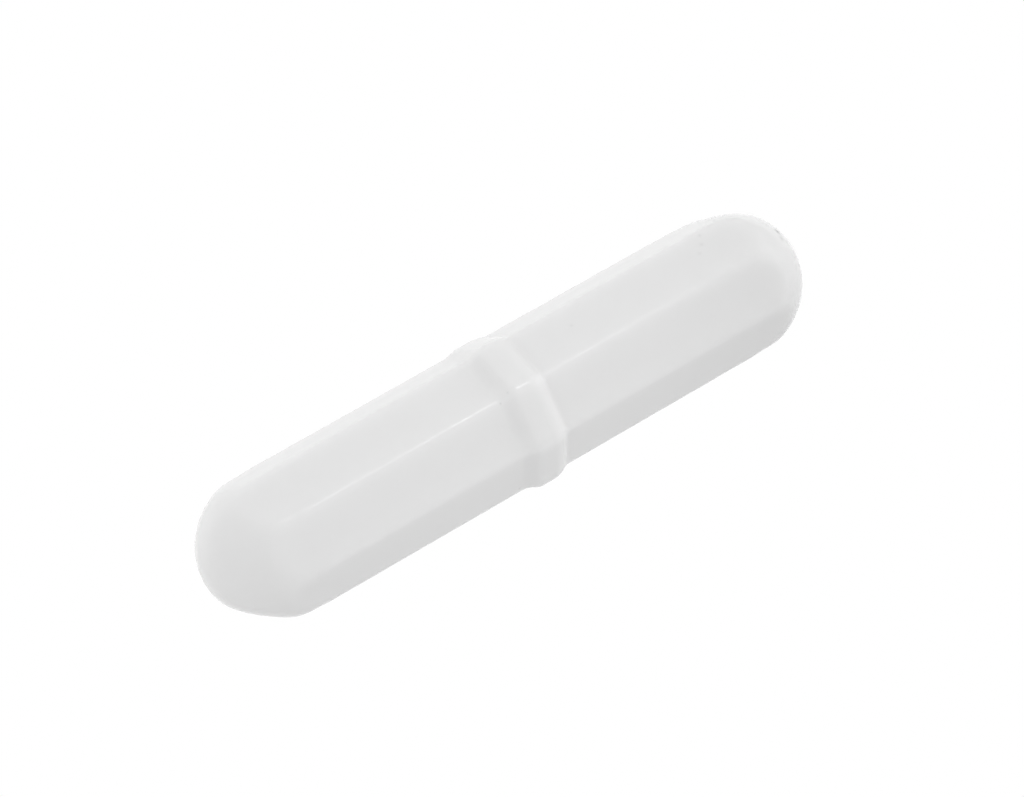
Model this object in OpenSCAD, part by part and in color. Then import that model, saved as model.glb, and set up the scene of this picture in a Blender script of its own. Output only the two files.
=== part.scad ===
// Magnetic stir bar: an octagonal bar of white PTFE with rounded ends and a pivot ring
// moulded round its middle, sealed over a rod magnet.
//
// All sizes are in millimetres. The bar lies along X, +Z is up, and the origin is under
// the middle of the bar, on the flat land of the pivot ring that it rests on.

/* [Bar] */
// Width of the octagon, from one flat side to the opposite one
across_flats = 8; // [6:0.1:12]
// Length over both rounded ends
bar_len = 39.6; // [25:0.1:80]
// Rounding radius of the octagon's eight long edges
edge_r = 0.8; // [0.3:0.05:1.4]

/* [Rounded ends] */
// How much longer each end is than a half ball would be
end_stretch = 0.2; // [0.1:0.05:2]
// How much tighter the tip's radius is than the ball that fits round the bar
tip_tightening = 0.2; // [0.1:0.05:1]
// Stand-off of the rounded end over the rounded long edges, where its curve begins
end_margin = 0.02; // [0.01:0.01:0.1]

/* [Pivot ring] */
// Height of the ring above the flat sides
ring_rise = 0.35; // [0.15:0.05:0.8]
// Width of the flat land on the ring's crown
ring_land = 0.6; // [0.3:0.05:2]
// Radius that rolls the crown over, on each side of the land
crown_r = 1.6; // [0.8:0.1:3]
// Radius of the hollow where the ring grows out of the bar
root_r = 0.6; // [0.3:0.05:1.5]

/* [Magnet] */
// Jacket thickness over the magnet, at the middle of a flat side
side_wall = 1.5; // [0.8:0.05:2]
// Jacket thickness between the magnet's end and the tip of the bar
end_wall = 3.2; // [2.5:0.1:5]
// Clearance between the moulded jacket and the magnet, all round
magnet_fit = 0.05; // [0.02:0.01:0.2]
// Chamfer round both ends of the magnet
magnet_chamfer = 0.4; // [0.1:0.05:0.8]

/* [Hidden] */
$fn = 96;

// How far surfaces that would only touch are let cross, so that they join cleanly
bite = 0.0005;
// How far a cutting shape runs past what it cuts
overrun = 1;

// The octagon
sides = 8;
turn = 360 / sides;
apothem = across_flats / 2;
flat_w = 2 * (apothem - edge_r) * tan(turn / 2);     // plane part of one flat side
edge_axis = (apothem - edge_r) / cos(turn / 2);      // bar's axis to the axis of an edge rounding

// The rounded end: a shoulder arc that leaves the bar level, and a tip arc on the axis
end_r = edge_axis + edge_r + end_margin;
end_len = end_r + end_stretch;
end_start = bar_len / 2 - end_len;
tip_r = end_r - tip_tightening;
tip_centre = end_len - tip_r;
shoulder_r = end_r + end_stretch + pow(end_stretch, 2) / (2 * tip_tightening);
shoulder_drop = shoulder_r - end_r;                  // its centre lies beyond the axis
join_angle = atan2(shoulder_drop, tip_centre);       // slope of the line through both centres
join_at = tip_centre + tip_r * cos(join_angle);

// The pivot ring's section, measured out from the axis of an edge rounding
roll = acos(1 - ring_rise / (crown_r + root_r));     // steepest slope of the ring's flank
ring_half = ring_land / 2 + (crown_r + root_r) * sin(roll);
ring_top = edge_r + ring_rise;
turnover = edge_r + root_r * (1 - cos(roll));        // level where the crown meets the hollow

// The magnet
magnet_r = apothem - side_wall - magnet_fit;
magnet_len = bar_len - 2 * (end_wall + magnet_fit);

axis_height = apothem + ring_rise;

// The octagon with rounded corners: four strips of material across the flats, and a disc
// at the centre of each corner's rounding
module octagon() {
    for (i = [0 : sides / 2 - 1]) rotate(i * turn) square([across_flats, flat_w], center = true);
    for (i = [0 : sides - 1]) rotate((i + 0.5) * turn) translate([edge_axis, 0]) circle(edge_r);
}

// Half of a rounded end's outline. X is the radius, and Y runs to the tip at end_len.
module end_outline() {
    intersection() {
        translate([-shoulder_drop, 0]) circle(shoulder_r);
        union() {
            translate([0, tip_centre - bite]) circle(tip_r + bite);
            square([shoulder_r, join_at]);
        }
        square([shoulder_r, end_len + overrun]);
    }
}

// The plain bar, with its axis along Z. Its rounded ends run out over the flat sides in
// eight scallops each.
module bar() {
    intersection() {
        linear_extrude(bar_len + 2 * overrun, center = true) octagon();
        rotate_extrude() {
            for (end = [0, 1]) mirror([0, end]) translate([0, end_start]) end_outline();
            translate([0, -end_start]) square([end_r, 2 * end_start]);
        }
    }
}

// The ring's lengthwise section: a land, a crown arc that rolls over on each side of it,
// and a hollow that runs out on the bar. X is the distance out from the axis of an edge
// rounding, and Y runs along the bar.
module ring_section(lift) {
    difference() {
        union() {
            translate([0, -ring_half]) square([turnover + lift, 2 * ring_half]);
            intersection() {
                union() {
                    translate([0, -ring_land / 2]) square([ring_top + overrun, ring_land]);
                    for (s = [-1, 1])
                        translate([ring_top + lift + bite - crown_r, s * ring_land / 2]) circle(crown_r);
                }
                translate([0, -ring_half]) square([ring_top + lift, 2 * ring_half]);
            }
        }
        for (s = [-1, 1]) translate([edge_r + root_r + lift, s * ring_half]) circle(root_r + 2 * bite);
    }
}

// The pivot ring, with the bar's axis along Z: its section is carried straight along each
// flat side, and swung round the axis of each edge rounding
module ring() {
    for (i = [0 : sides - 1]) {
        rotate([0, 0, i * turn]) translate([apothem - edge_r, 0, 0]) rotate([90, 0, 0])
            linear_extrude(flat_w, center = true) ring_section(0);
        rotate([0, 0, (i + 0.5) * turn]) translate([edge_axis, 0, 0])
            rotate_extrude() ring_section(bite);
    }
}

// The rod magnet, or the pocket for it when it is grown by the clearance, along Z
module rod(grow) {
    r = magnet_r + grow;
    h = magnet_len / 2 + grow;
    c = magnet_chamfer;
    rotate_extrude() polygon([[0, -h], [r - c, -h], [r, c - h], [r, h - c], [r - c, h], [0, h]]);
}

// Lays what is built along Z down along X, at the height where the ring's land is at z = 0
module lay_down() {
    translate([0, 0, axis_height]) rotate([0, 90, 0]) children();
}

// PTFE jacket, moulded in one piece with its pivot ring and closed all round the magnet
module jacket() {
    color([0.95, 0.95, 0.94]) lay_down() difference() {
        union() {
            bar();
            ring();
        }
        rod(magnet_fit);
    }
}

// Cast alnico rod magnet, sealed in the jacket
module magnet() {
    color([0.42, 0.42, 0.45]) lay_down() rod(0);
}

jacket();
magnet();
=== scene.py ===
"""A magnetic stir bar: an octagonal bar of white PTFE with rounded ends and a pivot ring round
its middle, moulded over a rod magnet. It lies on the ring's flat land, on a white table."""

import bpy
import numpy as np
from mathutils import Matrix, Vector


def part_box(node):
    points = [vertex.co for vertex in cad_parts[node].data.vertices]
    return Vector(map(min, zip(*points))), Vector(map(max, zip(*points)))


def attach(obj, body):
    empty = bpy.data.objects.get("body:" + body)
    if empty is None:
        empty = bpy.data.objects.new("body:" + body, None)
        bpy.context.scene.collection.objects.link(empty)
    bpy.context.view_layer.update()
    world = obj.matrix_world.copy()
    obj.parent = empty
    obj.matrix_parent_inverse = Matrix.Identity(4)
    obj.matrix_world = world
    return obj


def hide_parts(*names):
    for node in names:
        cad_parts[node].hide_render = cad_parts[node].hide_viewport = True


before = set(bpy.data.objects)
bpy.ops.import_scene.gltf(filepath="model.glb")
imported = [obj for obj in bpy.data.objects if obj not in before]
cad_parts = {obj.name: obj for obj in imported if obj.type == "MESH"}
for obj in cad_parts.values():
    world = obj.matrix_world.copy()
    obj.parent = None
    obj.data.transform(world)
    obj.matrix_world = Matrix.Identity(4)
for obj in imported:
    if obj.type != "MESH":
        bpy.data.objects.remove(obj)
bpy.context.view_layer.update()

# --- Jacket ---------------------------------------------------------------------------------
# The white body of the bar, with the pivot ring round its middle: one PTFE moulding, sintered
# over the magnet and closed all round it. Its ends are turned to a dome, which cuts each of the
# eight flat sides off in a scallop.
mm = 0.001
jacket_low, jacket_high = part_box("jacket")
magnet_low, magnet_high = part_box("magnet")
bar_half = jacket_high.x
axis_height = (jacket_low.z + jacket_high.z) / 2
edge_r = 0.8 * mm
end_stretch = 0.2 * mm
tip_tightening = 0.2 * mm
end_margin = 0.02 * mm
scallop_softness = 0.2 * mm
flare = 0.15 / mm

# The ring on each side: half of its land, its crown's radius and its hollow's radius. Its share
# lost to wear, and where round the bar that is
ring_rise = 0.35 * mm
ring_left = (0.4 * mm, 0.9 * mm, 1.8 * mm)
ring_right = (0.3 * mm, 1.6 * mm, 0.6 * mm)
ring_wear = 0.5
wear_at = np.radians(150)
wear_width = np.radians(25)

# A dent in each end: where along and round the end it lies, its width and its depth
dents = [(np.radians(126.4), np.radians(-50), np.radians(17), 0.40 * mm),
         (np.radians(67.6), np.radians(145), np.radians(13), 0.33 * mm)]
dent_run = 5 * mm
waves = 24
wave_depth = 0.005 * mm

turn = np.pi / 4
apothem = axis_height - ring_rise
edge_axis = (apothem - edge_r) / np.cos(turn / 2)
end_r = edge_axis + edge_r + end_margin
end_len = end_r + end_stretch
end_start = bar_half - end_len
tip_r = end_r - tip_tightening
tip_centre = end_len - tip_r
shoulder_r = end_r + end_stretch + end_stretch**2 / (2 * tip_tightening)
shoulder_drop = shoulder_r - end_r
join_turn = np.arctan2(shoulder_drop, tip_centre)
join_lean = np.arctan2(tip_r * np.sin(join_turn), tip_centre + tip_r * np.cos(join_turn))


def ring_lift(along):
    """Height of the pivot ring over the bar: a level land, a crown arc that rolls over on each
    side of it, and a hollow arc that runs out on the bar. The two arcs meet at the slope that
    brings both down by the ring's rise. The left side has a tighter crown and a wider hollow
    than the right one."""
    land_half, crown_r, root_r = (np.where(along < 0, left, right)
                                  for left, right in zip(ring_left, ring_right))
    slope = np.arccos(1 - ring_rise / (crown_r + root_r))
    out = np.maximum(np.abs(along) - land_half, 0)
    half = (crown_r + root_r) * np.sin(slope)
    crown = ring_rise - crown_r + np.sqrt(np.maximum(crown_r**2 - out**2, 0))
    hollow = root_r - np.sqrt(np.maximum(root_r**2 - np.minimum(half - out, root_r)**2, 0))
    return np.where(out < crown_r * np.sin(slope), crown, np.where(out < half, hollow, 0))


def octagon_reach(around, lift):
    """Distance from the axis to a rounded octagon that is offset outwards by lift: the flat
    side's line over the cosine of the angle, and near a corner the reach of its arc."""
    from_flat = np.abs((around + turn / 2) % turn - turn / 2)
    from_corner = turn / 2 - from_flat
    flat = (apothem + lift) / np.cos(from_flat)
    arc = edge_axis * np.cos(from_corner) + np.sqrt(
        np.maximum((edge_r + lift)**2 - (edge_axis * np.sin(from_corner))**2, 0))
    arc_starts = np.arctan2(edge_axis * np.sin(turn / 2), apothem + lift)
    return np.where(from_flat > arc_starts, arc, flat)


def inboard(along):
    """How far a place on the axis lies inboard of the nearer end's start."""
    return np.maximum(end_start - np.abs(along), 0)


def end_reach(along, lean):
    """Distance along a ray to the turned end. The ray starts on the axis and leans from square
    to the axis down to along it. It meets the shoulder arc, or nearer the tip the tip arc.
    Inboard of the end the outline flares out as a parabola, which lets the bar go free."""
    ahead, out = np.abs(np.cos(lean)), np.sin(lean)
    shoulder = -shoulder_drop * out + np.sqrt(shoulder_r**2 - (shoulder_drop * ahead)**2)
    tip = tip_centre * ahead + np.sqrt(tip_r**2 - (tip_centre * out)**2)
    reach = np.where(np.arctan2(out, ahead) < join_lean, tip, shoulder)
    return reach + flare * inboard(along)**2


def dent(along, lean, around, at_lean, at_around, width, depth):
    """Depth of a shallow dent in an end: a bell over the angle between the ray and the dent's
    middle, and inboard of the end a bell over the distance too."""
    cosine = (np.cos(lean) * np.cos(at_lean)
              + np.sin(lean) * np.sin(at_lean) * np.cos(around - at_around))
    angle = np.arccos(np.clip(cosine, -1, 1))
    same_end = along * np.cos(at_lean) > 0
    away = np.hypot(angle / width, inboard(along) / (dent_run * width))
    return np.where(same_end, depth * np.exp(-away**2 / 2), 0)


def soft_least(a, b, width):
    """The lesser of two distances, rounded over where they differ by less than width."""
    near = np.maximum(width - np.abs(a - b), 0) / width
    return np.minimum(a, b) - near**2 * width / 4


def waviness(point):
    """Depth of the moulding's faint waves at a point: the sum of plane sine waves that run in
    all directions, 1.5 to 4 mm long, over the root of their number, cut to 0 to twice
    wave_depth."""
    draw = np.random.default_rng(7)
    way = draw.normal(size=(waves, 3))
    length = draw.uniform(1.5 * mm, 4 * mm, waves)
    way *= (2 * np.pi / length / np.linalg.norm(way, axis=1))[:, None]
    phase = draw.uniform(0, 2 * np.pi, waves)
    rise = np.sin(point @ way.T + phase).sum(axis=-1) / np.sqrt(waves)
    return wave_depth * (1 + np.clip(rise, -1, 1))


def jacket_surface(along, lean, around):
    """Point of the jacket's skin for a ray that starts at along on the axis, leans by lean from
    the axis, and is turned by around about it: where it leaves the bar or the turned end, if
    that is nearer, less the waves. The ring's lift is worn off by a bell over the turn."""
    worn = ring_wear * np.exp((np.cos(around - wear_at) - 1) / wear_width**2)
    wall = octagon_reach(around, ring_lift(along) * (1 - worn)) / np.maximum(np.sin(lean), 1e-6)
    turned = end_reach(along, lean) - sum(dent(along, lean, around, *one) for one in dents)
    reach = soft_least(wall, turned, scallop_softness)
    ray = np.stack(np.broadcast_arrays(np.cos(lean), -np.sin(lean) * np.cos(around),
                                       np.sin(lean) * np.sin(around)), axis=-1)
    start = np.stack(np.broadcast_arrays(along, 0, axis_height), axis=-1)
    reach = reach - waviness(start + reach[..., None] * ray)
    return start + reach[..., None] * ray


def closed_mesh(name, shells):
    """A mesh of closed shells. Each shell is a grid of points, of which the first and the last
    row are a pole each, and a flag that turns it inside out for a cavity."""
    points, faces, smooth = [], [], []
    first = 0
    for grid, inward in shells:
        rows, cols = grid.shape[0] - 2, grid.shape[1]
        row, col = np.meshgrid(np.arange(rows - 1), np.arange(cols), indexing="ij")
        right = (col + 1) % cols
        a, b = first + 1 + row * cols + col, first + 1 + row * cols + right
        quads = np.stack([a, a + cols, b + cols, b], axis=-1).reshape(-1, 4)
        edge, after = np.arange(cols), (np.arange(cols) + 1) % cols
        start, end = first, first + 1 + rows * cols
        last = first + 1 + (rows - 1) * cols
        fans = np.concatenate([
            np.stack([np.full(cols, start), first + 1 + edge, first + 1 + after], axis=-1),
            np.stack([np.full(cols, end), last + after, last + edge], axis=-1)])
        step = -1 if inward else 1
        points += [grid[0, :1], grid[1:-1].reshape(-1, 3), grid[-1, :1]]
        faces += quads[:, ::step].tolist() + fans[:, ::step].tolist()
        smooth += [not inward] * (len(quads) + len(fans))
        first = end + 1
    mesh = bpy.data.meshes.new(name)
    mesh.from_pydata(np.concatenate(points).tolist(), [], faces)
    mesh.polygons.foreach_set("use_smooth", smooth)
    mesh.validate()
    piece = bpy.data.objects.new(name, mesh)
    bpy.context.collection.objects.link(piece)
    return piece


# Round the bar: each flat side in even steps, and closer ones over the rounded edge
flat_steps, edge_steps = 14, 12
flat_half = np.arctan2(edge_axis * np.sin(turn / 2), apothem)
one_side = np.concatenate([np.linspace(-flat_half, flat_half, flat_steps, endpoint=False),
                           np.linspace(flat_half, turn - flat_half, edge_steps, endpoint=False)])
around = (np.arange(8)[:, None] * turn + one_side).ravel()

# Along the bar: a fan of rays over each end, and square ones between, closer on the ring
fan_steps, ring_steps, bar_steps = 71, 40, 71
ring_reach = 2 * mm
fan = np.linspace(0, np.pi / 2, fan_steps + 1)[:-1]
half_run = np.concatenate([np.linspace(0, ring_reach, ring_steps, endpoint=False),
                           np.linspace(ring_reach, end_start, bar_steps + 1)])
run = np.concatenate([-half_run[::-1], half_run[1:]])
along = np.concatenate([np.full(fan_steps, -end_start), run, np.full(fan_steps, end_start)])
lean = np.concatenate([np.pi - fan, np.full(len(run), np.pi / 2), fan[::-1]])
skin = jacket_surface(along[:, None], lean[:, None], around[None, :])

# The pocket that the magnet lies in: a chamfered rod like it, larger by the moulding's clearance
magnet_fit = 0.05 * mm
magnet_chamfer = 0.4 * mm
pocket_half = magnet_high.x + magnet_fit
pocket_r = (magnet_high.z - magnet_low.z) / 2 + magnet_fit
pocket_x = np.array([-pocket_half, -pocket_half, magnet_chamfer - pocket_half,
                     pocket_half - magnet_chamfer, pocket_half, pocket_half])
pocket_out = np.array([0, pocket_r - magnet_chamfer, pocket_r, pocket_r,
                       pocket_r - magnet_chamfer, 0])
pocket_steps = 96
pocket_turn = np.linspace(0, 2 * np.pi, pocket_steps, endpoint=False)
pocket = np.stack([pocket_x[:, None] + 0 * pocket_turn,
                   -pocket_out[:, None] * np.cos(pocket_turn),
                   axis_height + pocket_out[:, None] * np.sin(pocket_turn)], axis=-1)
jacket = closed_mesh("ptfe_jacket", [(skin, False), (pocket, True)])


class Wire:
    """An output of a shader node. Arithmetic on wires and numbers adds Math nodes."""

    def __init__(self, tree, socket=None):
        self.tree, self.socket = tree, socket

    def node(self, kind, inputs, output=0, **settings):
        """Adds a node of any kind: its settings first, then its sockets' values or wires."""
        made = self.tree.nodes.new(kind)
        for name, value in settings.items():
            setattr(made, name, value)
        for key, value in inputs.items():
            if isinstance(value, Wire):
                self.tree.links.new(value.socket, made.inputs[key])
            else:
                made.inputs[key].default_value = value
        return Wire(self.tree, made.outputs[output]) if made.outputs else None

    def math(self, operation, *values):
        """Adds a Math node on wires or numbers."""
        return self.node("ShaderNodeMath", dict(enumerate(values)), operation=operation)

    def mix(self, factor, first, second):
        """Adds a Mix node: the first colour where the factor is 0, the second where it's 1."""
        colours = {0: factor, 6: first, 7: second}
        return self.node("ShaderNodeMix", colours, 2, data_type="RGBA")

    def __add__(self, other):
        return self.math("ADD", self, other)

    def __sub__(self, other):
        return self.math("SUBTRACT", self, other)

    def __rsub__(self, other):
        return self.math("SUBTRACT", other, self)

    def __mul__(self, other):
        return self.math("MULTIPLY", self, other)

    __radd__ = __add__
    __rmul__ = __mul__


def new_material(name):
    """An empty node material, and a wire to build its nodes from."""
    material = bpy.data.materials.new(name)
    material.use_nodes = True
    material.node_tree.nodes.clear()
    return material, Wire(material.node_tree)


# The moulding's white, with a faint cloud in it and a finely pebbled skin
ptfe, tree = new_material("sintered_ptfe")
place = tree.node("ShaderNodeTexCoord", {}, "Object")
cloud = tree.node("ShaderNodeTexNoise", {"Vector": place, "Scale": 260.0, "Detail": 3.0}, "Fac")
white = tree.mix(cloud, (0.92, 0.92, 0.92, 1), (0.94, 0.94, 0.94, 1))

# Dark specks on the skin, and, as the last three, a dark smudge on the right-hand dome's rim:
# that smudge is painted shade, standing for the shade by a small chip there. Middle and radius
# in mm, and depth. Each fades as exp(-(distance / radius)^2)
specks_and_shade_marks = [((14.32, 1.33, 8.34), 0.11, 0.09), ((14.01, 0.73, 8.35), 0.13, 0.07),
          ((13.53, 0.28, 8.35), 0.11, 0.06), ((4.68, 0.30, 8.34), 0.10, 0.06),
          ((-1.60, -1.75, 8.23), 0.06, 0.16), ((-0.98, -1.54, 8.52), 0.06, 0.14),
          ((-1.92, -4.00, 3.12), 0.07, 0.14), ((18.88, 0.32, 6.91), 0.16, 0.14),
          ((18.75, -0.21, 7.08), 0.22, 0.50), ((18.58, -0.79, 7.15), 0.20, 0.22)]
speck_and_shade_depth = 0.0
for centre, radius, depth in specks_and_shade_marks:
    away = tree.node("ShaderNodeVectorMath", {0: place, 1: Vector(centre) * mm}, "Value",
                     operation="DISTANCE")
    fade = tree.math("EXPONENT", tree.math("POWER", away * (1 / (radius * mm)), 2.0) * -1.0)
    speck_and_shade_depth = speck_and_shade_depth + depth * fade
# Darkens the white with the specks and with the painted shade on the right-hand dome's rim
white = tree.mix(speck_and_shade_depth, white, (0.12, 0.12, 0.12, 1))

pebble = tree.node("ShaderNodeTexNoise", {"Vector": place, "Scale": 1500.0, "Detail": 2.0}, "Fac")
skin_normal = tree.node("ShaderNodeBump", {"Height": pebble, "Distance": 0.004 * mm}, "Normal")
surface = tree.node("ShaderNodeBsdfPrincipled", {
    "Base Color": white, "Roughness": 0.09 + 0.04 * cloud, "Normal": skin_normal, "IOR": 1.45,
    "Subsurface Weight": 1.0, "Subsurface Radius": (1.0, 1.0, 1.0), "Subsurface Scale": 0.7 * mm,
})
tree.node("ShaderNodeOutputMaterial", {"Surface": surface})
jacket.data.materials.append(ptfe)
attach(jacket, "root")
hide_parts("jacket")

# --- Magnet ---------------------------------------------------------------------------------
# A rod of cast alnico, ground round and chamfered at both ends. It lies sealed in the jacket,
# which was sintered over it.
alnico, tree = new_material("cast_alnico")
place = tree.node("ShaderNodeTexCoord", {}, "Object")
grain = tree.node("ShaderNodeTexNoise", {"Vector": place, "Scale": 2500.0, "Detail": 4.0}, "Fac")
grey = tree.mix(grain, (0.20, 0.20, 0.21, 1), (0.34, 0.34, 0.35, 1))
surface = tree.node("ShaderNodeBsdfPrincipled", {
    "Base Color": grey, "Metallic": 1.0, "Roughness": 0.3 + 0.3 * grain})
tree.node("ShaderNodeOutputMaterial", {"Surface": surface})
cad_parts["magnet"].data.materials.clear()
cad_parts["magnet"].data.materials.append(alnico)

# --- Table ----------------------------------------------------------------------------------
# A plain white sheet that glows evenly and takes no shadow. It shows to the camera and in the
# bar's gloss, and it lets through the light of the tent, which also reaches the bar from below.
table_half = 1.5
table_mesh = bpy.data.meshes.new("table")
table_mesh.from_pydata([(-table_half, -table_half, 0), (table_half, -table_half, 0),
                        (table_half, table_half, 0), (-table_half, table_half, 0)], [],
                       [(0, 1, 2, 3)])
table = bpy.data.objects.new("table", table_mesh)
bpy.context.collection.objects.link(table)
sheet, tree = new_material("white_sheet")
surface = tree.node("ShaderNodeBsdfPrincipled", {
    "Base Color": (0, 0, 0, 1), "Roughness": 0.6, "Specular IOR Level": 0.0,
    "Emission Color": (1, 1, 1, 1), "Emission Strength": 1.0})
tree.node("ShaderNodeOutputMaterial", {"Surface": surface})
table.data.materials.append(sheet)
table.visible_diffuse = False
table.visible_transmission = False
table.visible_shadow = False

# --- Light tent -----------------------------------------------------------------------------
# White cloth all round the bar, with a wide glow behind it, at its right and at its left. Each
# glow falls off as exp((cosine - 1) / width^2) with the angle from its middle.


def direction(elevation, azimuth):
    """Unit vector from the bar at an elevation over the table and an azimuth from the front
    round to the right, both in degrees."""
    elevation, azimuth = np.radians([elevation, azimuth])
    return Vector((np.cos(elevation) * np.sin(azimuth), -np.cos(elevation) * np.cos(azimuth),
                   np.sin(elevation)))


# Each glow's middle, its width in degrees, and its strength
behind = direction(17.5, 182)
at_right = direction(18.8, 79.9)
at_left = direction(10.8, -79.3)
glows = [(behind, 21.3, 0.85), (at_right, 18.8, 1.1), (at_left, 64, 0.888)]
world = bpy.data.worlds.new("white_tent")
world.use_nodes = True
world.node_tree.nodes.clear()
tree = Wire(world.node_tree)
towards = tree.node("ShaderNodeTexCoord", {}, "Generated")
cloth = 0.0
for middle, width, strength in glows:
    cosine = tree.node("ShaderNodeVectorMath", {0: towards, 1: middle}, "Value",
                       operation="DOT_PRODUCT")
    cloth = cloth + strength * tree.math("EXPONENT", (cosine - 1) * np.radians(width)**-2)
tent = tree.node("ShaderNodeBackground", {"Color": cloth, "Strength": 1.0})
tree.node("ShaderNodeOutputWorld", {"Surface": tent})
bpy.context.scene.world = world
bpy.context.scene.view_settings.view_transform = "Standard"

# --- Lamps ----------------------------------------------------------------------------------
# A soft spot in front, aimed left of the middle, and wide screens at the right and behind, all
# polarised, so that the bar's gloss doesn't show them. A long strip lamp high at the right draws
# the fine line on the bar's front upper edge, and a short one brightens it by the ring.
spot = bpy.data.lights.new("spot", "SPOT")
spot.energy = 0.1245
spot.spot_size = np.radians(31)
spot.spot_blend = 1.0
spot.shadow_soft_size = 12 * mm

# Each lamp's light, the way to it, its aim along the bar in mm and its distance in mm
lamps = [(spot, direction(28, 15), -10, 150)]

# Each screen's energy, its width in degrees and the way to it
for energy, width, way in [(0.7, 66, at_right), (0.48, 85, behind)]:
    screen = bpy.data.lights.new("screen", "SUN")
    screen.energy = energy
    screen.angle = np.radians(width)
    lamps.append((screen, way, 0, 150))

# Each strip's length in mm, its energy, its aim and its distance
for length, energy, aim, away in [(46, 0.0066, -6.6, 120), (8, 0.0011, -5, 119)]:
    strip = bpy.data.lights.new("strip", "AREA")
    strip.shape = "RECTANGLE"
    strip.size, strip.size_y = length * mm, 8 * mm
    strip.energy = energy
    lamps.append((strip, direction(68.7, 77.9), aim, away))

for light, way, aim, away in lamps:
    lamp = bpy.data.objects.new(light.name, light)
    lamp.location = Vector((aim * mm, 0, axis_height)) + way * (away * mm)
    lamp.rotation_euler = Vector((0, 0, 1)).rotation_difference(way).to_euler()
    lamp.visible_glossy = light.type == "AREA"
    bpy.context.collection.objects.link(lamp)

# --- Camera ---------------------------------------------------------------------------------
# It looks down on the bar from the front and left of it, from a little over 230 mm away. The
# shift sets the middle of the bar a little off the middle of the view.
view_distance = 233.8 * mm
to_camera = direction(53.0, -35.523)
target = Vector((0, 0, axis_height))

# The view's size and the place of the bar's middle in it, and the scale there, in pixels
image_w, image_h = 1024, 797
bar_at = (505.68, 411.89)
pixels_per_metre = 17.996 / mm
focal_length = pixels_per_metre * view_distance

camera_data = bpy.data.cameras.new("camera")
camera = bpy.data.objects.new("camera", camera_data)
bpy.context.collection.objects.link(camera)
camera.location = target + to_camera * view_distance
camera.rotation_euler = to_camera.to_track_quat("Z", "Y").to_euler()
camera_data.lens = camera_data.sensor_width * focal_length / image_w
camera_data.shift_x = (image_w / 2 - bar_at[0]) / image_w
camera_data.shift_y = (bar_at[1] - image_h / 2) / image_w
camera_data.clip_start = 0.01
bpy.context.scene.camera = camera
